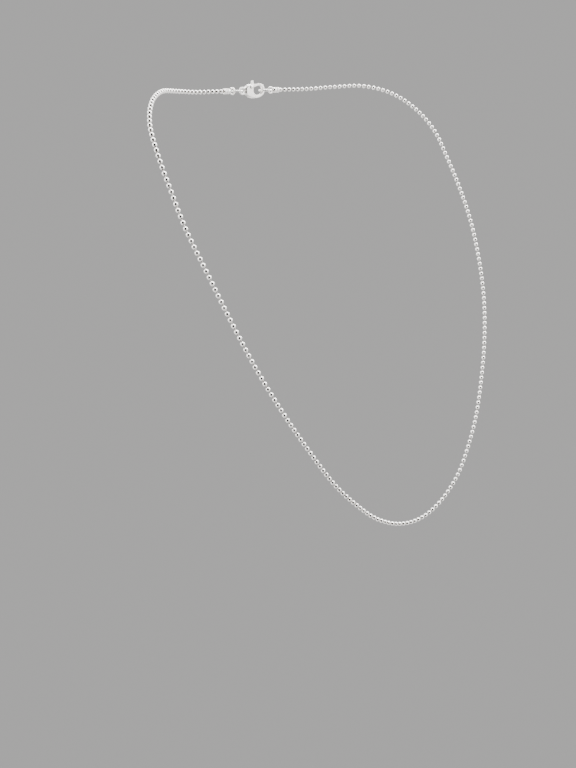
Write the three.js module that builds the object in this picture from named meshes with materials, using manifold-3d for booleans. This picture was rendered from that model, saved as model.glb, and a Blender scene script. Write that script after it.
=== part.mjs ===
// A fine silver bead-chain necklace with a lobster clasp, in millimetres, with +Z up.
//
// The necklace has the shape it takes when it is worn: it runs from the nape over the slope of
// both shoulders and down to the breastbone. The origin is the middle of the clasp at the nape,
// the front of the wearer looks along -Y, and the left and right strands mirror each other in X.
//
// Each strand is a row of runs. A run is a few beads and the short pins between them, made as one
// solid, and neighbouring runs meet between two beads, where the chain bends.

import * as THREE from "three";
import { mergeVertices } from "three/addons/utils/BufferGeometryUtils.js";
import Module from "manifold-3d";

// Chain
const BEAD_DIAMETER = 1.5;
const PIN_DIAMETER = 0.44;
const BEADS_PER_RUN = 8;
const RUNS_PER_SIDE = 15;
const BEADS_PER_SIDE = BEADS_PER_RUN * RUNS_PER_SIDE;
const BEAD_SIDES = 6;

// End caps: a barrel over the last bead, and a flat eye
const CAP_DIAMETER = 2.0;
const CAP_TO_BEAD = 0.3;
const EYE_HOLE_RADIUS = 0.75;
const EYE_WIRE = 0.6;
const EYE_TO_BARREL = 1.0;

// Rings
const JUMP_RING_RADIUS = 2.0;
const JUMP_RING_WIRE = 0.6;
const CLOSING_RING_RADIUS = 2.35;
const CLOSING_RING_WIRE = 0.8;
const RING_SLIT = 0.12;

// Lobster clasp, drawn flat in X and Z about its own middle
const CLASP_THICKNESS = 2.2;
const HOOK_THICKNESS = 1.4;
const TAIL_THICKNESS = 0.8;
const TAIL_EYE_X = -4.35;
const TAIL_HOLE_RADIUS = 0.8;
const TAIL_OUTER_RADIUS = 1.4;
const HOOK_INNER_X = 4.85;
const SLOT_WIDTH = 0.9;
const TRIGGER_THICKNESS = 0.6;
const PIVOT = new THREE.Vector2(-0.9, 1.2);
const PIVOT_HOLE_RADIUS = 0.45;
const RIVET_RADIUS = 0.35;
const RIVET_HEAD_RADIUS = 0.65;

// Air between pieces that touch on the real necklace
const GAP = 0.15;
const HOOK_GAP = 0.3;

const silver = () =>
  new THREE.MeshStandardMaterial({ color: 0xdedad4, roughness: 0.12, metalness: 1.0 });
const steel = () =>
  new THREE.MeshStandardMaterial({ color: 0xb4b6ba, roughness: 0.3, metalness: 1.0 });

// One strand's route, from the front bead up to the bead beside the clasp
const STRAND = [
  [0, -101, -145],
  [11.5, -100.5, -142.5],
  [22, -99, -136],
  [30, -96.5, -127.5],
  [37, -93.5, -118],
  [44, -89, -104.5],
  [50, -84, -91],
  [55, -78, -77],
  [58.5, -71, -63],
  [61, -63, -49],
  [62.5, -54, -36],
  [62.5, -47, -26],
  [62, -40, -16.5],
  [59.5, -31.5, -8.5],
  [54, -23, -2.5],
  [46, -14.5, 0.5],
  [36.5, -7, 0.5],
  [26, -2, 0],
  [14, 0, 0],
];

const wasm = await Module();
wasm.setup();

const necklace = new THREE.Group();
necklace.name = "bead_chain_necklace";

function addPart(name, geometry, material) {
  const mesh = new THREE.Mesh(geometry, material);
  mesh.name = name;
  necklace.add(mesh);
  return mesh;
}

// ---------------------------------------------------------------- solids that are cut or joined

function toSolid(geometry) {
  const bare = geometry.clone();
  bare.deleteAttribute("normal");
  bare.deleteAttribute("uv");
  const merged = mergeVertices(bare, 1e-4);
  return new wasm.Manifold(
    new wasm.Mesh({
      numProp: 3,
      vertProperties: new Float32Array(merged.attributes.position.array),
      triVerts: new Uint32Array(merged.index.array),
    }),
  );
}

function toGeometry(solid) {
  const mesh = solid.getMesh();
  const geometry = new THREE.BufferGeometry();
  geometry.setAttribute("position", new THREE.BufferAttribute(mesh.vertProperties, 3));
  geometry.setIndex(new THREE.BufferAttribute(mesh.triVerts, 1));
  geometry.computeVertexNormals();
  return geometry;
}

// A flat outline in X and Z, as thick as thickness along Y and centred on Y = 0
function plate(outline, thickness, bevel = 0) {
  const geometry = new THREE.ExtrudeGeometry(outline, {
    depth: thickness - 2 * bevel,
    steps: 1,
    curveSegments: 10,
    bevelEnabled: bevel > 0,
    bevelThickness: bevel,
    bevelSize: bevel,
    bevelOffset: -bevel,
    bevelSegments: 1,
  });
  geometry.translate(0, 0, -(thickness - 2 * bevel) / 2);
  geometry.rotateX(Math.PI / 2);
  return geometry;
}

// A round bar along Y through a point of the X and Z plane
function crossBar(at, radius, length, sides = 16) {
  const geometry = new THREE.CylinderGeometry(radius, radius, length, sides);
  geometry.translate(at.x, 0, at.y);
  return geometry;
}

function disc(x, z, radius) {
  const outline = new THREE.Shape();
  outline.absarc(x, z, radius, 0, 2 * Math.PI, false);
  return outline;
}

// ---------------------------------------------------------------- chain

const leftPoints = STRAND.slice(1).reverse().map(([x, y, z]) => new THREE.Vector3(-x, y, z));
const rightPoints = STRAND.map(([x, y, z]) => new THREE.Vector3(x, y, z));
const route = new THREE.CatmullRomCurve3([...leftPoints, ...rightPoints]);
route.arcLengthDivisions = 4000;
const routeLength = route.getLength();
const pitch = routeLength / (2 * BEADS_PER_SIDE);

// A point of the chain's centreline, a number of beads from the front bead, right side positive
function frameAt(beads) {
  const u = THREE.MathUtils.clamp(0.5 + (beads * pitch) / routeLength, 0, 1);
  const overrun = 0.5 * routeLength - Math.abs(beads * pitch);
  const tangent = route.getTangentAt(u);
  const point = route.getPointAt(u);
  if (overrun < 0) {
    point.addScaledVector(tangent, -overrun * Math.sign(beads));
  }
  const outward = new THREE.Vector3(0, -1, 0);
  const side = new THREE.Vector3().crossVectors(tangent, outward).normalize();
  const front = new THREE.Vector3().crossVectors(side, tangent);
  return { point, side, front };
}

// The half outline of a row of beads and pins, from one end of the row to the other
function runProfile(beads) {
  const beadRadius = BEAD_DIAMETER / 2;
  const shoulder = 0.48 * beadRadius;
  const shoulderRadius = 0.93 * beadRadius;
  const neck = 0.9 * beadRadius;
  const profile = [new THREE.Vector2(0, -beadRadius)];
  for (let bead = 0; bead < beads; bead += 1) {
    const middle = bead * pitch;
    if (bead > 0) {
      profile.push(new THREE.Vector2(PIN_DIAMETER / 2, middle - neck));
    }
    profile.push(new THREE.Vector2(shoulderRadius, middle - shoulder));
    profile.push(new THREE.Vector2(shoulderRadius, middle + shoulder));
    if (bead < beads - 1) {
      profile.push(new THREE.Vector2(PIN_DIAMETER / 2, middle + neck));
    }
  }
  profile.push(new THREE.Vector2(0, (beads - 1) * pitch + beadRadius));
  return profile;
}

// A straight row of beads, laid along the route between two beads
function chainRun(firstBead, lastBead) {
  const count = lastBead - firstBead + 1;
  const geometry = new THREE.LatheGeometry(runProfile(count), BEAD_SIDES);
  const position = geometry.attributes.position;
  for (let i = 0; i < position.count; i += 1) {
    const { point, side, front } = frameAt(firstBead + position.getY(i) / pitch);
    point.addScaledVector(side, position.getX(i));
    point.addScaledVector(front, position.getZ(i));
    position.setXYZ(i, point.x, point.y, point.z);
  }
  geometry.computeVertexNormals();
  return geometry;
}

// Run 1 is at the front, and the last run lies against the nape. The front bead is in left run 1.
for (let run = 1; run <= RUNS_PER_SIDE; run += 1) {
  const near = (run - 1) * BEADS_PER_RUN + 1;
  const far = run * BEADS_PER_RUN;
  const label = String(run).padStart(2, "0");
  addPart(`chain_left_${label}`, chainRun(-far, run === 1 ? 0 : -near), silver());
  addPart(`chain_right_${label}`, chainRun(near, far), silver());
}

// ---------------------------------------------------------------- end caps and rings

const tailOffset = TAIL_HOLE_RADIUS - JUMP_RING_WIRE / 2 - GAP;
const jumpRingX = TAIL_EYE_X - tailOffset - JUMP_RING_RADIUS;
const leftEyeX = jumpRingX - JUMP_RING_RADIUS - (EYE_HOLE_RADIUS - JUMP_RING_WIRE / 2 - GAP);
const closingRingX = HOOK_INNER_X - HOOK_GAP - CLOSING_RING_WIRE / 2 + CLOSING_RING_RADIUS;
const rightEyeX =
  closingRingX + CLOSING_RING_RADIUS + (EYE_HOLE_RADIUS - CLOSING_RING_WIRE / 2 - GAP);

// A cap whose eye is at eyeX and whose barrel reaches back towards the last bead on that side
function endCap(eyeX) {
  const toChain = Math.sign(eyeX);
  const lastBeadX = STRAND.at(-1)[0];
  const barrelLength =
    lastBeadX - BEAD_DIAMETER / 2 - CAP_TO_BEAD - Math.abs(eyeX) - EYE_TO_BARREL;
  const radius = CAP_DIAMETER / 2;
  const profile = [
    new THREE.Vector2(0, 0),
    new THREE.Vector2(0.62 * radius, 0),
    new THREE.Vector2(radius, 0.3 * radius),
    new THREE.Vector2(radius, barrelLength - 0.15),
    new THREE.Vector2(radius - 0.15, barrelLength),
    new THREE.Vector2(0, barrelLength),
  ];
  const barrel = new THREE.LatheGeometry(profile, 16);
  barrel.rotateZ(-toChain * Math.PI / 2);
  barrel.translate(eyeX + toChain * EYE_TO_BARREL, 0, 0);
  const eye = new THREE.TorusGeometry(EYE_HOLE_RADIUS + EYE_WIRE / 2, EYE_WIRE / 2, 8, 20);
  eye.rotateX(Math.PI / 2);
  eye.translate(eyeX, 0, 0);
  return toGeometry(toSolid(barrel).add(toSolid(eye)));
}

// A ring of round wire lying level, with the fine slit where its ends meet
function openRing(radius, wire, slitAngle) {
  const slit = RING_SLIT / radius;
  const turn = new THREE.Curve();
  turn.getPoint = (t, target = new THREE.Vector3()) => {
    const angle = slitAngle + slit / 2 + t * (2 * Math.PI - slit);
    return target.set(radius * Math.cos(angle), radius * Math.sin(angle), 0);
  };
  const section = disc(0, 0, wire / 2);
  return new THREE.ExtrudeGeometry(section, {
    steps: 28,
    curveSegments: 4,
    bevelEnabled: false,
    extrudePath: turn,
  });
}

addPart("end_cap_left", endCap(leftEyeX), silver());
addPart("end_cap_right", endCap(rightEyeX), silver());

const jumpRing = addPart(
  "jump_ring",
  openRing(JUMP_RING_RADIUS, JUMP_RING_WIRE, Math.PI / 2),
  silver(),
);
jumpRing.position.x = jumpRingX;
const closingRing = addPart(
  "closing_ring",
  openRing(CLOSING_RING_RADIUS, CLOSING_RING_WIRE, Math.PI / 2),
  silver(),
);
closingRing.position.x = closingRingX;

// ---------------------------------------------------------------- lobster clasp

// The claw seen from the front, with the hook at the right and its mouth at the top
function claspOutline() {
  const outline = new THREE.Shape();
  outline.moveTo(-3.3, -0.9);
  outline.bezierCurveTo(-2.4, -2.2, -0.8, -2.7, 1.0, -2.7);
  outline.bezierCurveTo(3.8, -2.7, 5.75, -1.5, 5.75, 0.2);
  outline.bezierCurveTo(5.75, 1.4, 4.9, 2.4, 3.45, 2.55);
  outline.lineTo(3.3, 1.75);
  outline.bezierCurveTo(4.3, 1.6, HOOK_INNER_X, 0.9, HOOK_INNER_X, 0.1);
  outline.bezierCurveTo(HOOK_INNER_X, -1.0, 3.6, -1.6, 2.0, -1.6);
  outline.bezierCurveTo(1.2, -1.6, 0.5, -1.1, 0.35, -0.4);
  outline.lineTo(0.35, 2.1);
  outline.bezierCurveTo(-0.6, 2.5, -2.2, 2.3, -3.3, 0.9);
  outline.lineTo(-3.3, -0.9);
  return outline;
}

function claspBody() {
  const thickness = CLASP_THICKNESS;
  const claw = toSolid(plate(claspOutline(), thickness, 0.3));
  const tail = toSolid(plate(disc(TAIL_EYE_X, 0, TAIL_OUTER_RADIUS), TAIL_THICKNESS));
  const tailHole = crossBar(new THREE.Vector2(TAIL_EYE_X, 0), TAIL_HOLE_RADIUS, 2 * thickness, 20);
  const shave = (thickness - HOOK_THICKNESS) / 2;
  const slimmer = (side) => {
    const block = new THREE.BoxGeometry(6, shave, 8);
    block.translate(0.9 + 3, side * (HOOK_THICKNESS + shave) / 2, 0);
    return toSolid(block);
  };
  const slot = new THREE.BoxGeometry(3.4, SLOT_WIDTH, 3.6);
  slot.translate(-0.85, 0, 1.1);
  const rivetHole = crossBar(PIVOT, PIVOT_HOLE_RADIUS, 2 * thickness);
  const solid = claw
    .add(tail)
    .subtract(toSolid(tailHole))
    .subtract(slimmer(1))
    .subtract(slimmer(-1))
    .subtract(toSolid(slot))
    .subtract(toSolid(rivetHole));
  return toGeometry(solid);
}

// The lever that shuts the mouth, with its thumb nub outside the claw
function claspTrigger() {
  const outline = new THREE.Shape();
  outline.absarc(PIVOT.x, PIVOT.y, 0.85, 0.5 * Math.PI, 1.62 * Math.PI, false);
  outline.lineTo(0.6, 1.0);
  outline.lineTo(3.05, 1.75);
  outline.lineTo(3.15, 2.4);
  outline.lineTo(1.2, 2.25);
  outline.lineTo(0.75, 3.15);
  outline.absarc(0.35, 3.1, 0.42, 0, Math.PI, false);
  outline.lineTo(-0.25, 2.25);
  outline.lineTo(PIVOT.x, PIVOT.y + 0.85);
  const lever = toSolid(plate(outline, TRIGGER_THICKNESS));
  return toGeometry(lever.subtract(toSolid(crossBar(PIVOT, PIVOT_HOLE_RADIUS, 4))));
}

function claspRivet() {
  const half = CLASP_THICKNESS / 2;
  const profile = [
    new THREE.Vector2(0, -half - 0.3),
    new THREE.Vector2(0.4, -half - 0.26),
    new THREE.Vector2(RIVET_HEAD_RADIUS, -half - 0.1),
    new THREE.Vector2(RIVET_RADIUS, -half - 0.1),
    new THREE.Vector2(RIVET_RADIUS, half + 0.1),
    new THREE.Vector2(RIVET_HEAD_RADIUS, half + 0.1),
    new THREE.Vector2(0.4, half + 0.26),
    new THREE.Vector2(0, half + 0.3),
  ];
  const geometry = new THREE.LatheGeometry(profile, 16);
  geometry.translate(PIVOT.x, 0, PIVOT.y);
  return geometry;
}

// A bent strip between the floor of the slot and the heel of the lever
function claspSpring() {
  const outline = new THREE.Shape();
  outline.moveTo(-0.4, -0.5);
  outline.lineTo(-2.15, -0.5);
  outline.quadraticCurveTo(-2.5, -0.5, -2.5, -0.1);
  outline.lineTo(-2.15, 1.6);
  outline.lineTo(-1.98, 1.56);
  outline.lineTo(-2.3, -0.05);
  outline.quadraticCurveTo(-2.32, -0.32, -2.1, -0.32);
  outline.lineTo(-0.4, -0.32);
  outline.lineTo(-0.4, -0.5);
  return plate(outline, 0.5);
}

addPart("clasp_body", claspBody(), silver());
addPart("clasp_trigger", claspTrigger(), silver());
addPart("clasp_rivet", claspRivet(), silver());
addPart("clasp_spring", claspSpring(), steel());

export default necklace;
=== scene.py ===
# %% [markdown]
# # A fine bead-chain necklace in silver
#
# The real chain is a row of small hollow silver balls. Short pins with a head at each end run
# from ball to ball, so that every ball can swivel. Behind the neck the chain ends in two caps,
# and a lobster clasp joins them through two wire rings.
#
# The clasp's solids and the eight-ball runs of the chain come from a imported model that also
# holds the joints. This lesson makes the fine surface around it: each ball and pin, the caps,
# the rings, the rounded clasp, and the silver that they are made of.

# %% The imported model
import math
import random

import bmesh
import bpy
from mathutils import Matrix, Vector


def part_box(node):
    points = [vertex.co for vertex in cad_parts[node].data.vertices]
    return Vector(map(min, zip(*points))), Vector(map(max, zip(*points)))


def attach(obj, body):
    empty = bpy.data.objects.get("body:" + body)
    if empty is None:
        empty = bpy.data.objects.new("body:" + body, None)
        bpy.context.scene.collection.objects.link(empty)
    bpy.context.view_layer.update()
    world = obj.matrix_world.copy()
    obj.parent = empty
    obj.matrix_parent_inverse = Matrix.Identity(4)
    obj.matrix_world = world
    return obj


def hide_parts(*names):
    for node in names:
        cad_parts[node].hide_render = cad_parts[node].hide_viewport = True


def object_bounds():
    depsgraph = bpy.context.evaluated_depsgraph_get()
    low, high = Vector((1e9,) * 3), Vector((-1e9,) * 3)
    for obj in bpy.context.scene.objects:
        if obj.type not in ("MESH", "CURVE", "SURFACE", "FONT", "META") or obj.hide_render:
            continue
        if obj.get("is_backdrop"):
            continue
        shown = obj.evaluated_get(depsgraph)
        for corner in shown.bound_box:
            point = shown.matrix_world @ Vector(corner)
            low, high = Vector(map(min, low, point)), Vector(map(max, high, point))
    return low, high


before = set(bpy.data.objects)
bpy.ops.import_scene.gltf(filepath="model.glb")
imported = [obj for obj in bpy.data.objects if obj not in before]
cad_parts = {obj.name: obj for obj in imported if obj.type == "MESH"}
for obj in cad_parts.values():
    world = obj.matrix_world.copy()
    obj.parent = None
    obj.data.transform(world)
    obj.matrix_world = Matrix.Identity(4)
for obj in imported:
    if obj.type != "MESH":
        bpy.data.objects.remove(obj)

cad_box = [list(corner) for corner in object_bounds()]
MM = 0.001

# %% [markdown]
# ## The camera
#
# A camera can be placed by hand and aimed with a constraint, but a matrix says the same with
# nothing left over. Here the view looks down on the necklace from the wearer's right, from
# close by, so that the near strand is drawn larger than the far one.

# %% The camera
CAMERA_AT = Vector((-0.1475, -0.2177, 0.0010))
CAMERA_AZIMUTH = math.radians(-36.56)
CAMERA_HEIGHT_ANGLE = math.radians(26.1)
CAMERA_ROLL = math.radians(1.46)
CAMERA_LENS = 28.43

camera_back = Vector(
    (
        math.sin(CAMERA_AZIMUTH) * math.cos(CAMERA_HEIGHT_ANGLE),
        -math.cos(CAMERA_AZIMUTH) * math.cos(CAMERA_HEIGHT_ANGLE),
        math.sin(CAMERA_HEIGHT_ANGLE),
    )
)
camera_right = Vector((0, 0, 1)).cross(camera_back).normalized()
camera_up = camera_back.cross(camera_right)
rolled = Matrix.Rotation(-CAMERA_ROLL, 3, camera_back)
axes = Matrix((rolled @ camera_right, rolled @ camera_up, camera_back)).transposed()

bpy.ops.object.camera_add()
camera = bpy.context.object
camera.name = "camera"
camera.matrix_world = Matrix.Translation(CAMERA_AT) @ axes.to_4x4()
camera.data.sensor_width = 36
camera.data.lens = CAMERA_LENS
camera.data.clip_start = 0.005
bpy.context.scene.camera = camera
print("camera", [round(v, 3) for v in camera.location])

# %% [markdown]
# ## Small helpers
#
# Operators act on whatever is selected, so each helper first makes one object the only
# selected and active one.

# %% Small helpers
def only(obj):
    """Makes obj the only selected object, and the active one."""
    bpy.ops.object.select_all(action="DESELECT")
    obj.select_set(True)
    bpy.context.view_layer.objects.active = obj
    return obj


def edit(obj, mode="FACE"):
    """Opens obj in edit mode with nothing selected, and returns its edit mesh."""
    only(obj)
    bpy.ops.object.mode_set(mode="EDIT")
    bpy.ops.mesh.select_mode(type=mode)
    bpy.ops.mesh.select_all(action="DESELECT")
    return bmesh.from_edit_mesh(obj.data)


def done(obj):
    """Leaves edit mode and gives back obj."""
    bpy.ops.object.mode_set(mode="OBJECT")
    return obj


def apply_all(obj):
    """Applies obj's place and its modifiers, in that order."""
    only(obj)
    bpy.ops.object.transform_apply(location=True, rotation=True, scale=True)
    for modifier in list(obj.modifiers):
        bpy.ops.object.modifier_apply(modifier=modifier.name)
    return obj


def joined(objects, name):
    """Joins objects into one, with its place in its mesh."""
    only(objects[0])
    for obj in objects[1:]:
        obj.select_set(True)
    if len(objects) > 1:
        bpy.ops.object.join()
    bpy.ops.object.transform_apply(location=True, rotation=True, scale=True)
    obj = bpy.context.object
    obj.name = name
    obj.data.name = name
    return obj


def smooth(obj, angle=None):
    """Shades obj smooth, all over or only across edges flatter than angle degrees."""
    only(obj)
    if angle is None:
        bpy.ops.object.shade_smooth()
    else:
        bpy.ops.object.shade_smooth_by_angle(angle=math.radians(angle))
    return obj


def finish_piece(obj, body, material, slot, *nodes):
    """Gives a piece its silver, its body and the solids that it stands for."""
    obj.data.materials.clear()
    obj.data.materials.append(material)
    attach(obj, body)
    if nodes:
        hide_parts(*nodes)
    return obj


print("helpers ready")

# %% [markdown]
# ## The route of the chain
#
# A worn chain hangs in one smooth curve: down both sides of the chest and over the shoulders
# to the nape. One strand's points, from the front ball to the ball beside the clasp, are
# enough, because the other strand mirrors it. A centripetal Catmull-Rom curve goes through
# every point and makes no loops between them, which is why it is used and not a Bezier curve
# with handles to keep in order.

# %% The route of the chain
STRAND = [
    (0, -0.101, -0.145),
    (0.0115, -0.1005, -0.1425),
    (0.022, -0.099, -0.136),
    (0.030, -0.0965, -0.1275),
    (0.037, -0.0935, -0.118),
    (0.044, -0.089, -0.1045),
    (0.050, -0.084, -0.091),
    (0.055, -0.078, -0.077),
    (0.0585, -0.071, -0.063),
    (0.061, -0.063, -0.049),
    (0.0625, -0.054, -0.036),
    (0.0625, -0.047, -0.026),
    (0.062, -0.040, -0.0165),
    (0.0595, -0.0315, -0.0085),
    (0.054, -0.023, -0.0025),
    (0.046, -0.0145, 0.0005),
    (0.0365, -0.007, 0.0005),
    (0.026, -0.002, 0),
    (0.014, 0, 0),
]
BEADS_PER_RUN = 8
RUNS_PER_SIDE = 15
BEADS_PER_SIDE = BEADS_PER_RUN * RUNS_PER_SIDE
STEPS = 60

points = [Vector((-x, y, z)) for x, y, z in reversed(STRAND[1:])]
points += [Vector(point) for point in STRAND]


def catmull_rom(p0, p1, p2, p3, t):
    """A point between p1 and p2, with the spacing that keeps the curve free of loops."""
    d0, d1, d2 = (math.sqrt((b - a).length) for a, b in ((p0, p1), (p1, p2), (p2, p3)))
    out = ((p1 - p0) / d0 - (p2 - p0) / (d0 + d1) + (p2 - p1) / d1) * d1
    back = ((p2 - p1) / d1 - (p3 - p1) / (d1 + d2) + (p3 - p2) / d2) * d1
    cubic = 2 * p1 - 2 * p2 + out + back
    square = -3 * p1 + 3 * p2 - 2 * out - back
    return p1 + out * t + square * t**2 + cubic * t**3


def route_line():
    """The route as many short straight steps."""
    ends = [2 * points[0] - points[1], *points, 2 * points[-1] - points[-2]]
    line = [
        catmull_rom(*ends[i : i + 4], step / STEPS)
        for i in range(len(points) - 1)
        for step in range(STEPS)
    ]
    return [*line, points[-1]]


line = route_line()
along = [0.0]
for before, after in zip(line, line[1:]):
    along.append(along[-1] + (after - before).length)
route_length = along[-1]
pitch = route_length / (2 * BEADS_PER_SIDE)


print(f"chain {route_length / MM:.1f} mm, pitch {pitch / MM:.3f} mm")

# %% [markdown]
# ### Places on the route
#
# Balls are counted from the front one, which is number 0, with minus numbers on the left. A
# search through the running lengths turns such a number into a point and a direction.

# %% Places on the route
def on_route(beads):
    """The point and the direction of the chain, that many beads from the front bead."""
    reach = min(max(route_length / 2 + beads * pitch, 0.0), route_length)
    low, high = 0, len(along) - 1
    while high - low > 1:
        middle = (low + high) // 2
        low, high = (middle, high) if along[middle] <= reach else (low, middle)
    share = (reach - along[low]) / (along[high] - along[low])
    direction = (line[high] - line[low]).normalized()
    point = line[low].lerp(line[high], share)
    return point + direction * (route_length / 2 + beads * pitch - reach), direction


def laid(beads, roll):
    """Where a pattern made along Z goes on the route, turned about the chain by roll."""
    point, direction = on_route(beads)
    turn = direction.to_track_quat("Z", "Y").to_matrix() @ Matrix.Rotation(roll, 3, "Z")
    return Matrix.Translation(point) @ turn.to_4x4()


print("front ball at", [round(place / MM, 1) for place in on_route(0)[0]], "mm")

# %% [markdown]
# ## Two surface effects
#
# Polished silver is never one flat grey. Wear leaves faint rubbed patches, fine scratches and
# a little tarnish where no cloth reaches, and inner corners of cast pieces get painted shade as
# well. Every kind of silver here needs the same two effects, so each is a node group, built once
# and given its own values in each material.
#
# The first group turns a place on the piece into a roughness and a height for a bump. The
# second one mixes a clean and a tarnished colour. Both read the place from outside, so that a
# material can hand them object coordinates or anything else.

# %% Two surface effects
NOISE_LOW = 0.32
NOISE_HIGH = 0.68
PATCH_RIPPLES = 1400
STAIN_RIPPLES = 700
DIMPLE_RIPPLES = 2600
SCRATCH_RIPPLES = 16000
SCRATCH_DEPTH = 0.25
SCRATCH_LEAN = (0.4, 0.7, 0.2)
SCRATCH_STRETCH = (1, 1, 0.08)


def node_group(name, inputs, outputs):
    """An empty shader group with its sockets, its two end nodes and its wiring function."""
    group = bpy.data.node_groups.new(name, "ShaderNodeTree")
    for kind, label, value in inputs:
        socket = group.interface.new_socket(label, in_out="INPUT", socket_type=kind)
        if value is not None:
            socket.default_value = value
    for kind, label in outputs:
        group.interface.new_socket(label, in_out="OUTPUT", socket_type=kind)
    start = group.nodes.new("NodeGroupInput")
    end = group.nodes.new("NodeGroupOutput")
    return group, start, end


def noise(tree, scale, detail, vector):
    """A noise texture on the given vector socket; scale is in ripples per metre."""
    node = tree.nodes.new("ShaderNodeTexNoise")
    node.inputs["Scale"].default_value = scale
    node.inputs["Detail"].default_value = detail
    tree.links.new(vector, node.inputs["Vector"])
    return node.outputs["Fac"]


def spread(tree, value, low, high):
    """Stretches the middle of a noise over the whole range from low to high."""
    node = tree.nodes.new("ShaderNodeMapRange")
    node.inputs["From Min"].default_value = NOISE_LOW
    node.inputs["From Max"].default_value = NOISE_HIGH
    tree.links.new(value, node.inputs["Value"])
    for label, end in (("To Min", low), ("To Max", high)):
        if isinstance(end, (int, float)):
            node.inputs[label].default_value = end
        else:
            tree.links.new(end, node.inputs[label])
    return node.outputs["Result"]


print("helpers for shader nodes ready")

# %% [markdown]
# ### Polish marks
#
# Noise gives all three marks. Broad noise makes the rubbed patches, finer noise the dimples of
# a tumbled surface, and noise stretched along one direction makes the scratches.

# %% Polish marks
def polish_marks():
    """Rubbed patches in the roughness, and fine scratches and dimples for a bump."""
    group, start, end = node_group(
        "polish_marks",
        [
            ("NodeSocketVector", "Place", None),
            ("NodeSocketFloat", "Rough Low", 0.06),
            ("NodeSocketFloat", "Rough High", 0.2),
        ],
        [("NodeSocketFloat", "Roughness"), ("NodeSocketFloat", "Height")],
    )
    place = start.outputs["Place"]
    patches = noise(group, PATCH_RIPPLES, 4, place)
    rough = spread(group, patches, start.outputs["Rough Low"], start.outputs["Rough High"])
    group.links.new(rough, end.inputs["Roughness"])

    stretch = group.nodes.new("ShaderNodeMapping")
    stretch.inputs["Rotation"].default_value = SCRATCH_LEAN
    stretch.inputs["Scale"].default_value = SCRATCH_STRETCH
    group.links.new(place, stretch.inputs["Vector"])
    scratches = noise(group, SCRATCH_RIPPLES, 2, stretch.outputs["Vector"])
    dimples = noise(group, DIMPLE_RIPPLES, 2, place)
    both = group.nodes.new("ShaderNodeMath")
    both.operation = "ADD"
    group.links.new(spread(group, scratches, 0, SCRATCH_DEPTH), both.inputs[0])
    group.links.new(spread(group, dimples, 0, 1), both.inputs[1])
    group.links.new(both.outputs["Value"], end.inputs["Height"])
    return group


MARKS = polish_marks()
print("group", MARKS.name)

# %% [markdown]
# ### Silver tone
#
# Silver turns brown where it isn't rubbed. Faint stains from a noise are added to a mask that
# comes from outside, and their sum mixes the two colours.

# %% Silver tone
def silver_tone():
    """Clean metal that goes over to tarnish in patches and where a mask says so."""
    group, start, end = node_group(
        "silver_tone",
        [
            ("NodeSocketVector", "Place", None),
            ("NodeSocketColor", "Clean", (0.9, 0.9, 0.9, 1)),
            ("NodeSocketColor", "Tarnish", (0.4, 0.36, 0.3, 1)),
            ("NodeSocketFloat", "Patches", 0.1),
            ("NodeSocketFloat", "Mask", 0),
        ],
        [("NodeSocketColor", "Color")],
    )
    cloud = noise(group, STAIN_RIPPLES, 5, start.outputs["Place"])
    stain = spread(group, cloud, 0, start.outputs["Patches"])
    total = group.nodes.new("ShaderNodeMath")
    total.operation = "ADD"
    total.use_clamp = True
    group.links.new(stain, total.inputs[0])
    group.links.new(start.outputs["Mask"], total.inputs[1])
    mix = group.nodes.new("ShaderNodeMix")
    mix.data_type = "RGBA"
    group.links.new(total.outputs["Value"], mix.inputs["Factor"])
    group.links.new(start.outputs["Clean"], mix.inputs["A"])
    group.links.new(start.outputs["Tarnish"], mix.inputs["B"])
    group.links.new(mix.outputs["Result"], end.inputs["Color"])
    return group


TONE = silver_tone()
print("group", TONE.name)

# %% [markdown]
# ## The metals
#
# Silver is a metal all through, so Metallic is 1 and the base colour is the colour of its
# reflections. Balls and cast pieces also read a number that is stored on their points: how far
# the colour goes over to brown there. In a ball's mouths it is tarnish, in a casting's inner
# corners it is painted shade together with tarnish, and each ball has a little of its own.
# Stored numbers stay on the surface when a piece moves, where a world-space pattern would slide
# through it.

# %% The metals
def metal(name, clean, tarnish_and_shade, patches, rough, bump, dark=None):
    """A worn metal made of both surface effects; dark names a stored number for its recesses."""
    material = bpy.data.materials.new(name)
    material.use_nodes = True
    tree = material.node_tree
    shader = tree.nodes["Principled BSDF"]
    shader.inputs["Metallic"].default_value = 1.0
    place = tree.nodes.new("ShaderNodeTexCoord").outputs["Object"]

    tone = tree.nodes.new("ShaderNodeGroup")
    tone.node_tree = TONE
    tone.inputs["Clean"].default_value = (*clean, 1)
    tone.inputs["Tarnish"].default_value = (*tarnish_and_shade, 1)
    tone.inputs["Patches"].default_value = patches
    tree.links.new(place, tone.inputs["Place"])
    tree.links.new(tone.outputs["Color"], shader.inputs["Base Color"])
    if dark:
        stored = tree.nodes.new("ShaderNodeAttribute")
        stored.attribute_name = dark
        tree.links.new(stored.outputs["Fac"], tone.inputs["Mask"])

    marks = tree.nodes.new("ShaderNodeGroup")
    marks.node_tree = MARKS
    marks.inputs["Rough Low"].default_value = rough[0]
    marks.inputs["Rough High"].default_value = rough[1]
    tree.links.new(place, marks.inputs["Place"])
    tree.links.new(marks.outputs["Roughness"], shader.inputs["Roughness"])
    relief = tree.nodes.new("ShaderNodeBump")
    relief.inputs["Strength"].default_value = 1.0
    relief.inputs["Distance"].default_value = bump
    tree.links.new(marks.outputs["Height"], relief.inputs["Height"])
    tree.links.new(relief.outputs["Normal"], shader.inputs["Normal"])
    return material


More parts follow.
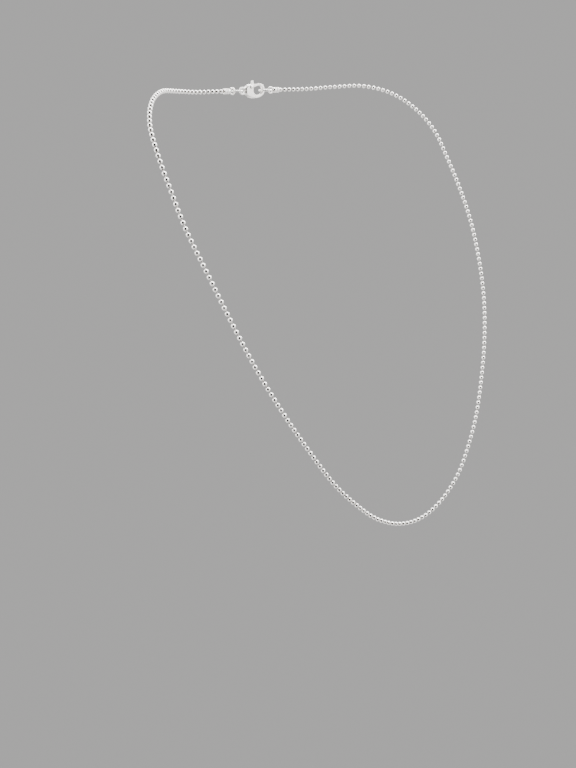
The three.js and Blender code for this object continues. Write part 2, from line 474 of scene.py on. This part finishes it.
MICRON = 0.000001
BRIGHT = (0.95, 0.935, 0.915)
BROWN = (0.30, 0.26, 0.21)
BALL_SILVER = metal("ball_silver", BRIGHT, BROWN, 0.08, (0.05, 0.16), 4 * MICRON, dark="tarnish_and_shade")
# Pins get a darker clean colour and heavier brown patches than the balls: painted shade, for the
# shade that falls on a pin between two balls.
PIN_SILVER_PAINTED_SHADE = metal("pin_silver_painted_shade", (0.58, 0.56, 0.53), BROWN, 0.4, (0.14, 0.3), 4 * MICRON)
CAST_SILVER = metal(
    "cast_silver", (0.92, 0.905, 0.885), BROWN, 0.14, (0.08, 0.22), 5 * MICRON, dark="tarnish_and_shade"
)
WIRE_SILVER = metal("wire_silver", (0.93, 0.915, 0.895), BROWN, 0.1, (0.07, 0.18), 5 * MICRON)
RIVET_SILVER = metal("rivet_silver", (0.84, 0.83, 0.81), BROWN, 0.2, (0.15, 0.3), 5 * MICRON)
SPRING_STEEL = metal(
    "spring_steel", (0.50, 0.51, 0.53), (0.22, 0.20, 0.19), 0.3, (0.22, 0.4), 3 * MICRON
)
print(len(bpy.data.materials), "materials")

# %% [markdown]
# ## Turned shapes
#
# Pins, rivets and caps are all turned on a lathe. A profile could be spun around an axis, but
# the closed end of a cone is easier to follow: its top face is extruded up and resized for
# each step of the profile, which leaves one closed solid with no seam to weld.

# %% Turned shapes
def turned(name, profile, sides):
    """A solid turned about Z, from (height, radius) pairs that rise from its foot to its top."""
    steps = [(height * MM, radius * MM) for height, radius in profile]
    (foot, foot_radius), (top, top_radius) = steps[:2]
    bpy.ops.mesh.primitive_cone_add(
        vertices=sides,
        radius1=foot_radius,
        radius2=top_radius,
        depth=top - foot,
        location=(0, 0, (foot + top) / 2),
    )
    piece = only(bpy.context.object)
    bpy.ops.object.transform_apply(location=True)
    mesh = edit(piece)
    for face in mesh.faces:
        face.select_set(len(face.verts) == sides and face.normal.z > 0.5)
    bmesh.update_edit_mesh(piece.data)
    for height, radius in steps[2:]:
        bpy.ops.mesh.extrude_region_move(TRANSFORM_OT_translate={"value": (0, 0, height - top)})
        bpy.ops.transform.resize(value=(radius / top_radius, radius / top_radius, 1))
        top, top_radius = height, radius
    done(piece)
    piece.name = name
    return piece


def store(piece, name, value_of):
    """Keeps a number on each point of a piece, worked out from the point's place."""
    numbers = piece.data.attributes.new(name, "FLOAT", "POINT")
    for point, number in zip(piece.data.vertices, numbers.data):
        number.value = value_of(point.co)


def sound(piece):
    """How many edges of a piece don't have exactly two faces, which is 0 on a closed solid."""
    mesh = bmesh.new()
    mesh.from_mesh(piece.data)
    loose = sum(not edge.is_manifold for edge in mesh.edges)
    volume = mesh.calc_volume(signed=True)
    mesh.free()
    return f"{len(piece.data.polygons)} faces, {loose} open edges, {volume / MM**3:.3f} mm3"


# %% [markdown]
# ## One ball
#
# A ball is rolled up from sheet silver, so it has a mouth at each end, where the sheet curls
# in around the pin. A boolean could cut the mouths, but a UV sphere already has a round fan of
# triangles at each pole: each fan is dissolved into one face, pushed in and narrowed, which
# gives the lip. A necklace has hundreds of balls, so one ball gets only a few dozen faces, and
# smooth shading rounds it.

# %% One ball
BALL_RADIUS = 0.75 * MM
BALL_SIDES = 14
BALL_BANDS = 7
MOUTH_DEPTH = 0.2 * MM
MOUTH_NARROWING = 0.9
MOUTH_RIM = 0.95
MOUTH_TARNISH = 0.8

bpy.ops.object.select_all(action="DESELECT")
bpy.ops.mesh.primitive_uv_sphere_add(
    segments=BALL_SIDES, ring_count=BALL_BANDS, radius=BALL_RADIUS
)
ball = bpy.context.object
ball.name = "ball_pattern"
mesh = edit(ball)
for face in mesh.faces:
    face.select_set(len(face.verts) == 3)
bmesh.update_edit_mesh(ball.data)
bpy.ops.mesh.dissolve_faces()
bpy.ops.mesh.extrude_faces_move(TRANSFORM_OT_shrink_fatten={"value": -MOUTH_DEPTH})
bpy.ops.transform.resize(value=(MOUTH_NARROWING, MOUTH_NARROWING, 1))
done(ball)
smooth(ball, 60)
mouth_height = max(point.co.z for point in ball.data.vertices)
mouth_radius = max(
    math.hypot(point.co.x, point.co.y)
    for point in ball.data.vertices
    if point.co.z > mouth_height - MOUTH_DEPTH / 2
)


def mouth_tarnish(at):
    """Tarnish inside the rim of a mouth, and none on the outside of the ball."""
    return MOUTH_TARNISH if math.hypot(at.x, at.y) < MOUTH_RIM * mouth_radius else 0


store(ball, "tarnish_and_shade", mouth_tarnish)
print("ball", sound(ball), f"mouth {2 * mouth_radius / MM:.2f} mm wide")

# %% [markdown]
# ## One pin
#
# A pin is a short piece of wire whose two ends are swaged into heads, so that it can't pull
# out through a mouth. Only its middle shows, between two balls.

# %% One pin
PIN_PROFILE = [
    (-0.50, 0.07),
    (-0.47, 0.11),
    (-0.40, 0.16),
    (0.40, 0.16),
    (0.47, 0.11),
    (0.50, 0.07),
]
pin = turned("pin_pattern", PIN_PROFILE, 8)
smooth(pin, 60)
print("pin", sound(pin))

# %% [markdown]
# ## The rows of balls and pins
#
# An array modifier along a curve would space the copies, but each ball on a real chain hangs
# at its own small angle on its pins. So each copy is laid one by one: its place and direction
# come from the route, and its roll and tilt from a random number with a fixed seed, which gives
# the same necklace every time. A run's balls become one piece, because they move together.

# %% The rows of balls and pins
BALL_TILT = math.radians(2.0)
BALL_SHIFT = 0.01 * MM
BALL_TONE = 0.06
chance = random.Random(508)


def copy_at(pattern, matrix, tone=None):
    """A copy of a pattern, with its own mesh, placed by a matrix."""
    piece = bpy.data.objects.new(pattern.name, pattern.data.copy())
    piece.data.transform(matrix)
    bpy.context.scene.collection.objects.link(piece)
    if tone is not None:
        for number in piece.data.attributes["tarnish_and_shade"].data:
            number.value += tone
    return piece


def some(limit):
    """A random number between minus limit and limit."""
    return chance.uniform(-limit, limit)


def ball_at(beads):
    """One ball of the chain, that many balls from the front one."""
    loose = Matrix.Rotation(some(BALL_TILT), 4, "X") @ Matrix.Rotation(some(BALL_TILT), 4, "Y")
    shift = Matrix.Translation((some(BALL_SHIFT), some(BALL_SHIFT), 0))
    place = laid(beads, some(math.pi)) @ shift @ loose
    return copy_at(ball, place, tone=chance.uniform(0, BALL_TONE))


def pin_at(beads):
    """One pin of the chain, halfway between two balls."""
    return copy_at(pin, laid(beads, some(math.pi)))


for run in range(1, RUNS_PER_SIDE + 1):
    first = (run - 1) * BEADS_PER_RUN + 1
    ordinals = list(range(first, first + BEADS_PER_RUN))
    for side, sign in (("left", -1), ("right", 1)):
        at_front = run == 1 and side == "left"
        balls = [ball_at(sign * ordinal) for ordinal in ordinals]
        pins = [pin_at(sign * (ordinal + 0.5)) for ordinal in ordinals]
        if at_front:
            balls.append(ball_at(0))
            pins += [pin_at(-0.5), pin_at(0.5)]
        label = f"{side}_{run:02d}"
        body = "nape" if run == RUNS_PER_SIDE else f"{side}_run_{run:02d}"
        row = joined(balls, f"balls_{label}")
        finish_piece(row, body, BALL_SILVER, "chain_silver", f"chain_{label}")
        finish_piece(joined(pins, f"pins_{label}"), body, PIN_SILVER_PAINTED_SHADE, "chain_silver")

bpy.data.objects.remove(ball)
bpy.data.objects.remove(pin)
print(2 * RUNS_PER_SIDE, "rows,", 2 * BEADS_PER_SIDE + 1, "balls")

# %% [markdown]
# ## Cast corners
#
# Caps and clasps are cast and then tumbled, so no corner stays sharp and every joint has a
# small fillet. A bevel needs clean edges to follow, which joined shapes don't have. A voxel
# remesh makes one even skin over everything instead, and smoothing then rounds that skin. The
# remesh takes no grain under a tenth of a millimetre, so the piece is enlarged for it.
#
# Inner corners are painted darker: painted shade, where less light gets in, together with the
# dull tarnish that a polishing cloth leaves there. Blender's dirty vertex colours find those
# corners, and the metal reads them as a stored number.

# %% Cast corners
ENLARGED = 1000


def resized(piece, factor):
    """Scales a piece about the origin, with the scale in its mesh."""
    only(piece)
    piece.scale = (factor, factor, factor)
    bpy.ops.object.transform_apply(scale=True)
    return piece


# Inner corners of cast pieces are painted darker: painted shade, with some tarnish.
FLAT_SHADE = 0.5
CORNER_SHADE = 0.475
CORNER_SHADE_AND_TARNISH = 0.7
SHADE_SPREAD = 6


def shade_and_tarnish_corners(piece):
    """Stores 0 on flats and edges, rising to CORNER_SHADE_AND_TARNISH in inner corners: painted
    shade with tarnish.
    """
    only(piece)
    bpy.ops.geometry.color_attribute_add(
        name="open", domain="CORNER", data_type="FLOAT_COLOR", color=(1, 1, 1, 1)
    )
    bpy.ops.paint.vertex_color_dirt(
        blur_strength=1,
        blur_iterations=SHADE_SPREAD,
        clean_angle=math.pi,
        dirt_angle=0,
        normalize=False,
    )
    # The dirt shade is stored as painted shade with some tarnish, so inner corners are painted
    # darker.
    tarnish_and_shade = piece.data.attributes.new("tarnish_and_shade", "FLOAT", "POINT")
    for corner, shade in zip(piece.data.loops, piece.data.color_attributes["open"].data):
        depth = (FLAT_SHADE - shade.color[0]) / (FLAT_SHADE - CORNER_SHADE)
        tarnish_and_shade.data[corner.vertex_index].value = CORNER_SHADE_AND_TARNISH * min(1, max(0, depth))
    piece.data.color_attributes.remove(piece.data.color_attributes["open"])
    return piece


def cast(piece, grain, rounds):
    """One even skin over all of a piece, in faces of grain millimetres, with soft corners."""
    resized(piece, ENLARGED)
    skin = piece.modifiers.new("skin", "REMESH")
    skin.mode = "VOXEL"
    skin.voxel_size = grain
    tumbled = piece.modifiers.new("tumbled", "SMOOTH")
    tumbled.factor = 0.5
    tumbled.iterations = rounds
    apply_all(piece)
    return shade_and_tarnish_corners(smooth(resized(piece, 1 / ENLARGED)))


# %% [markdown]
# ## The end caps
#
# A cap is a turned barrel that grips the chain's last pin, with a round eye of wire at its
# back for the ring. The barrel is turned upright at the origin, laid along X and joined with
# the eye, and both are cast into one. Its sizes come from the box of the solid in the packed
# model.

# %% The end caps
EYE_WIRE = 0.3
EYE_HOLE = 0.75
EYE_TO_BARREL = 1.0
CAP_MOUTH_DEPTH = 0.38


def cap_profile(length):
    """The barrel of a cap: a dome, a groove, a rolled lip and a shallow mouth."""
    return [
        (0.0, 0.40),
        (0.12, 0.66),
        (0.32, 0.86),
        (0.55, 0.96),
        (0.80, 0.99),
        (1.45, 0.99),
        (1.53, 0.90),
        (1.67, 0.90),
        (1.75, 0.99),
        (length - 0.42, 0.99),
        (length - 0.34, 0.92),
        (length - 0.26, 0.99),
        (length - 0.10, 0.99),
        (length, 0.90),
        (length, 0.60),
        (length - CAP_MOUTH_DEPTH, 0.55),
    ]


def end_cap(side, sign):
    """The cap on one side; sign is the direction from its eye to its mouth along X."""
    low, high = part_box(f"end_cap_{side}")
    mouth, back = (high.x, low.x) if sign > 0 else (low.x, high.x)
    eye_at = back + sign * (EYE_HOLE + 2 * EYE_WIRE) * MM
    length = abs(mouth - eye_at) / MM - EYE_TO_BARREL
    barrel = turned(f"barrel_{side}", cap_profile(length), 48)
    barrel.rotation_euler = (0, sign * math.pi / 2, 0)
    barrel.location = (eye_at + sign * EYE_TO_BARREL * MM, 0, 0)
    apply_all(barrel)
    bpy.ops.mesh.primitive_torus_add(
        major_radius=(EYE_HOLE + EYE_WIRE) * MM,
        minor_radius=EYE_WIRE * MM,
        major_segments=64,
        minor_segments=20,
        location=(eye_at, 0, 0),
        rotation=(math.pi / 2, 0, 0),
    )
    cap = cast(joined([barrel, bpy.context.object], f"cap_{side}"), 0.04, 4)
    return finish_piece(cap, "nape", CAST_SILVER, "clasp_silver", f"end_cap_{side}")


for side, sign in (("left", -1), ("right", 1)):
    print(side, "cap", sound(end_cap(side, sign)))

# %% [markdown]
# ## The rings
#
# A jump ring is round wire wound once on a rod and sawn through, so it has a fine slit where
# its ends meet. A torus has no ends. A disc that is spun around the ring's axis stops just
# short of the full turn, which leaves two flat sawn ends.

# %% The rings
RING_SLIT = 0.1
RING_STEPS = 120
WIRE_SIDES = 20


def wire_ring(name, node, wire):
    """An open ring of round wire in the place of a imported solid; wire is in millimetres."""
    low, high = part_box(node)
    centre = (low.x + high.x) / 2
    radius = (high.x - low.x - wire * MM) / 2
    slit = RING_SLIT * MM / radius
    start = math.pi / 2 + slit / 2
    bpy.ops.mesh.primitive_circle_add(
        vertices=WIRE_SIDES,
        radius=wire / 2 * MM,
        fill_type="NGON",
        location=(centre + radius * math.cos(start), radius * math.sin(start), 0),
        rotation=(math.pi / 2, 0, start),
    )
    ring = only(bpy.context.object)
    bpy.ops.object.transform_apply(location=True, rotation=True)
    edit(ring)
    bpy.ops.mesh.select_all(action="SELECT")
    bpy.ops.mesh.spin(
        steps=RING_STEPS, angle=2 * math.pi - slit, center=(centre, 0, 0), axis=(0, 0, 1)
    )
    bpy.ops.mesh.select_all(action="SELECT")
    bpy.ops.mesh.remove_doubles(threshold=0.01 * MM)
    bpy.ops.mesh.normals_make_consistent(inside=False)
    done(ring)
    ring.name = name
    filed = ring.modifiers.new("filed_ends", "BEVEL")
    filed.width = 0.03 * MM
    filed.segments = 2
    filed.angle_limit = math.radians(60)
    apply_all(ring)
    return smooth(ring, 40)


jump = wire_ring("link_ring", "jump_ring", 0.6)
finish_piece(jump, "jump_ring", WIRE_SILVER, "ring_silver", "jump_ring")
closing = wire_ring("hook_ring", "closing_ring", 0.8)
finish_piece(closing, "closing_ring", WIRE_SILVER, "ring_silver", "closing_ring")
print("rings:", sound(jump), "and", sound(closing))

# %% [markdown]
# ## The lobster clasp
#
# The claw and its lever already have the right outline and the right hole in the packed
# model, so a copy of each is welded and cast. The rivet that the lever turns on is turned
# from rod and peened over at both ends. The spring is a bent strip that pushes the lever's
# heel outwards, so it only gets a fine bevel.

# %% The lobster clasp
def cad_copy(node, name):
    """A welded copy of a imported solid, which itself stays as it is."""
    piece = bpy.data.objects.new(name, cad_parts[node].data.copy())
    bpy.context.scene.collection.objects.link(piece)
    edit(piece)
    bpy.ops.mesh.select_all(action="SELECT")
    bpy.ops.mesh.remove_doubles(threshold=0.001 * MM)
    return done(piece)


claw = cast(cad_copy("clasp_body", "claw"), 0.06, 22)
finish_piece(claw, "clasp", CAST_SILVER, "clasp_silver", "clasp_body")
lever = cast(cad_copy("clasp_trigger", "lever"), 0.045, 8)
finish_piece(lever, "trigger", CAST_SILVER, "clasp_silver", "clasp_trigger")

RIVET_HALF = [(0.35, 1.12), (0.62, 1.12), (0.64, 1.17), (0.57, 1.27), (0.40, 1.36), (0.2, 1.4)]
rivet_profile = [(-height, radius) for radius, height in reversed(RIVET_HALF)]
rivet_profile += [(height, radius) for radius, height in RIVET_HALF]
rivet = turned("rivet", rivet_profile, 32)
rivet.rotation_euler = (math.pi / 2, 0, 0)
rivet.location = sum(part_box("clasp_rivet"), Vector()) / 2
smooth(apply_all(rivet), 40)
finish_piece(rivet, "clasp", RIVET_SILVER, "clasp_silver", "clasp_rivet")

strip = cad_copy("clasp_spring", "spring_strip")
edges = strip.modifiers.new("edges", "BEVEL")
edges.width = 0.02 * MM
edges.segments = 2
edges.angle_limit = math.radians(50)
smooth(apply_all(strip), 40)
finish_piece(strip, "clasp", SPRING_STEEL, "spring_steel", "clasp_spring")
for piece in (claw, lever, rivet, strip):
    print(piece.name, sound(piece))

# %% [markdown]
# ## The floor
#
# The floor is a plain disc of pale paper, so wide that its rim lies close to the horizon. The
# rim stays out of sight because the room behind it is as bright as the lit paper. The paper
# has no gloss, and reflections don't see it, because the tent of light goes on below it.

# %% The floor
FLOOR_DEPTH = 0.235
FLOOR_RADIUS = 8.0
PAPER_WHITENESS = 0.46

bpy.ops.object.select_all(action="DESELECT")
bpy.ops.mesh.primitive_circle_add(
    vertices=128, radius=FLOOR_RADIUS, fill_type="NGON", location=(0, 0, -FLOOR_DEPTH)
)
floor = only(bpy.context.object)
bpy.ops.object.transform_apply(location=True)
floor.name = "floor"

PAPER = bpy.data.materials.new("pale_paper")
PAPER.use_nodes = True
paper = PAPER.node_tree.nodes["Principled BSDF"]
paper.inputs["Base Color"].default_value = (PAPER_WHITENESS, PAPER_WHITENESS, PAPER_WHITENESS, 1)
paper.inputs["Roughness"].default_value = 1.0
paper.inputs["Specular IOR Level"].default_value = 0.0
floor.data.materials.append(PAPER)
floor.visible_glossy = False
floor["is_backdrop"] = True
print("floor", FLOOR_DEPTH, "m under the clasp")

# %% [markdown]
# ## The light
#
# Polished silver shows nothing but its surroundings, so the surroundings are half of its look.
# Jewellers show it in a tent of white cloth, which gives each ball a bright rim, and the
# dark camera in the tent's opening gives it the small dark centre that makes it look round.
# Here the world is the tent. Reflections see it bright above and softer below, with the soft
# shades of folds in its cloth. The floor is lit by an even white, and behind the floor is the
# same grey as the floor. A Light Path node tells these three kinds of ray apart.

# %% The light
world = bpy.data.worlds.new("white_tent")
world.use_nodes = True
bpy.context.scene.world = world
sky = world.node_tree
rays = sky.nodes.new("ShaderNodeLightPath")


def cloth(colour, strength):
    """One of the world's three looks."""
    node = sky.nodes.new("ShaderNodeBackground")
    node.inputs["Color"].default_value = (*colour, 1)
    node.inputs["Strength"].default_value = strength
    return node


def for_rays(kind, other, seen):
    """Shows seen to one kind of ray and other to all the rest."""
    choice = sky.nodes.new("ShaderNodeMixShader")
    sky.links.new(rays.outputs[kind], choice.inputs["Fac"])
    sky.links.new(other, choice.inputs[1])
    sky.links.new(seen, choice.inputs[2])
    return choice.outputs["Shader"]


DAYLIGHT = (1, 0.99, 0.98)
LIGHT_STRENGTH = 1.0
TENT_COLOUR = (1, 0.99, 0.975)
TENT_BELOW = 2.2
TENT_ABOVE = 5.2
TENT_SHOULDER = 0.7
FOLDS_PER_TURN = 2.6
FOLD_SHADE = 0.3
FOLD_LIGHT = 1.15

light = cloth(DAYLIGHT, LIGHT_STRENGTH)
backdrop = cloth(DAYLIGHT, LIGHT_STRENGTH * PAPER_WHITENESS)
tent = cloth(TENT_COLOUR, TENT_ABOVE)
direction = sky.nodes.new("ShaderNodeTexCoord").outputs["Generated"]
split = sky.nodes.new("ShaderNodeSeparateXYZ")
sky.links.new(direction, split.inputs["Vector"])
climb = sky.nodes.new("ShaderNodeMapRange")
climb.interpolation_type = "SMOOTHSTEP"
climb.inputs["From Min"].default_value = -TENT_SHOULDER
climb.inputs["From Max"].default_value = TENT_SHOULDER
climb.inputs["To Min"].default_value = TENT_BELOW
climb.inputs["To Max"].default_value = TENT_ABOVE
sky.links.new(split.outputs["Z"], climb.inputs["Value"])
folds = noise(sky, FOLDS_PER_TURN, 3, direction)
folded = sky.nodes.new("ShaderNodeMath")
folded.operation = "MULTIPLY"
sky.links.new(climb.outputs["Result"], folded.inputs[0])
sky.links.new(spread(sky, folds, FOLD_SHADE, FOLD_LIGHT), folded.inputs[1])
sky.links.new(folded.outputs["Value"], tent.inputs["Strength"])
lit = for_rays("Is Glossy Ray", light.outputs["Background"], tent.outputs["Background"])
seen = for_rays("Is Camera Ray", lit, backdrop.outputs["Background"])
sky.links.new(seen, sky.nodes["World Output"].inputs["Surface"])
print("tent from", TENT_BELOW, "below to", TENT_ABOVE, "above")

# %% [markdown]
# ## The panels
#
# In a tent alone silver looks flat, because all of it is about as bright. Three soft square
# lamps add bright highlights: a strong one above, one on the right and a weak one on the left.
# The camera doesn't see them, and they leave the floor alone, so that it stays even.

# %% The panels
MIDDLE = Vector((0, -0.055, -0.07))


def panel(name, at, size, power):
    """A soft square light that faces the middle of the necklace."""
    bpy.ops.object.light_add(type="AREA", location=at)
    lamp = bpy.context.object
    lamp.name = name
    lamp.data.shape = "SQUARE"
    lamp.data.size = size
    lamp.data.energy = power
    lamp.rotation_euler = (MIDDLE - Vector(at)).to_track_quat("-Z", "Y").to_euler()
    lamp.visible_camera = False
    lamp.visible_diffuse = False


panel("panel_above", (0.2, 0.15, 0.95), 0.5, 12)
panel("panel_left", (-0.9, 0.2, 0.3), 0.4, 3)
panel("panel_right", (0.9, -0.1, 0.45), 0.45, 9)
print("three panels")

# %% [markdown]
# ## The black card
#
# A camera is small and dark, but the opening of the tent around it is dark as well. A black
# disc behind the camera stands for both, and only reflections see it. Its felt fades to clear
# towards its rim through Alpha, so that no hard edge shows on a ball.

# %% The black card
CARD_RADIUS = 0.56
CARD_SOLID = 0.27
CARD_DISTANCE = 0.03
bpy.ops.mesh.primitive_circle_add(vertices=48, radius=CARD_RADIUS, fill_type="NGON")
card = only(bpy.context.object)
card.name = "black_card"
card.matrix_world = camera.matrix_world @ Matrix.Translation((0, 0, CARD_DISTANCE))
card.visible_camera = False
card.visible_diffuse = False
card.visible_shadow = False
FELT = bpy.data.materials.new("black_felt")
FELT.use_nodes = True
cut = FELT.node_tree
felt = cut.nodes["Principled BSDF"]
felt.inputs["Base Color"].default_value = (0.01, 0.01, 0.01, 1)
felt.inputs["Roughness"].default_value = 1.0
distance = cut.nodes.new("ShaderNodeVectorMath")
distance.operation = "LENGTH"
cut.links.new(cut.nodes.new("ShaderNodeTexCoord").outputs["Object"], distance.inputs[0])
fade = cut.nodes.new("ShaderNodeMapRange")
fade.interpolation_type = "SMOOTHSTEP"
fade.inputs["From Min"].default_value = CARD_SOLID
fade.inputs["From Max"].default_value = CARD_RADIUS
fade.inputs["To Min"].default_value = 1
fade.inputs["To Max"].default_value = 0
cut.links.new(distance.outputs["Value"], fade.inputs["Value"])
cut.links.new(fade.outputs["Result"], felt.inputs["Alpha"])
card.data.materials.append(FELT)
card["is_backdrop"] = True
print("card", 2 * CARD_RADIUS, "m wide")

# %% [markdown]
# ## The size
#
# The fine surface has to stay as large as the imported solids, so both boxes are printed.

# %% The size
visual_box = [list(corner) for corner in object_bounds()]
for name, corners in (("CAD", cad_box), ("visual", visual_box)):
    print(name, [round((high - low) / MM, 2) for low, high in zip(*corners)], "mm")
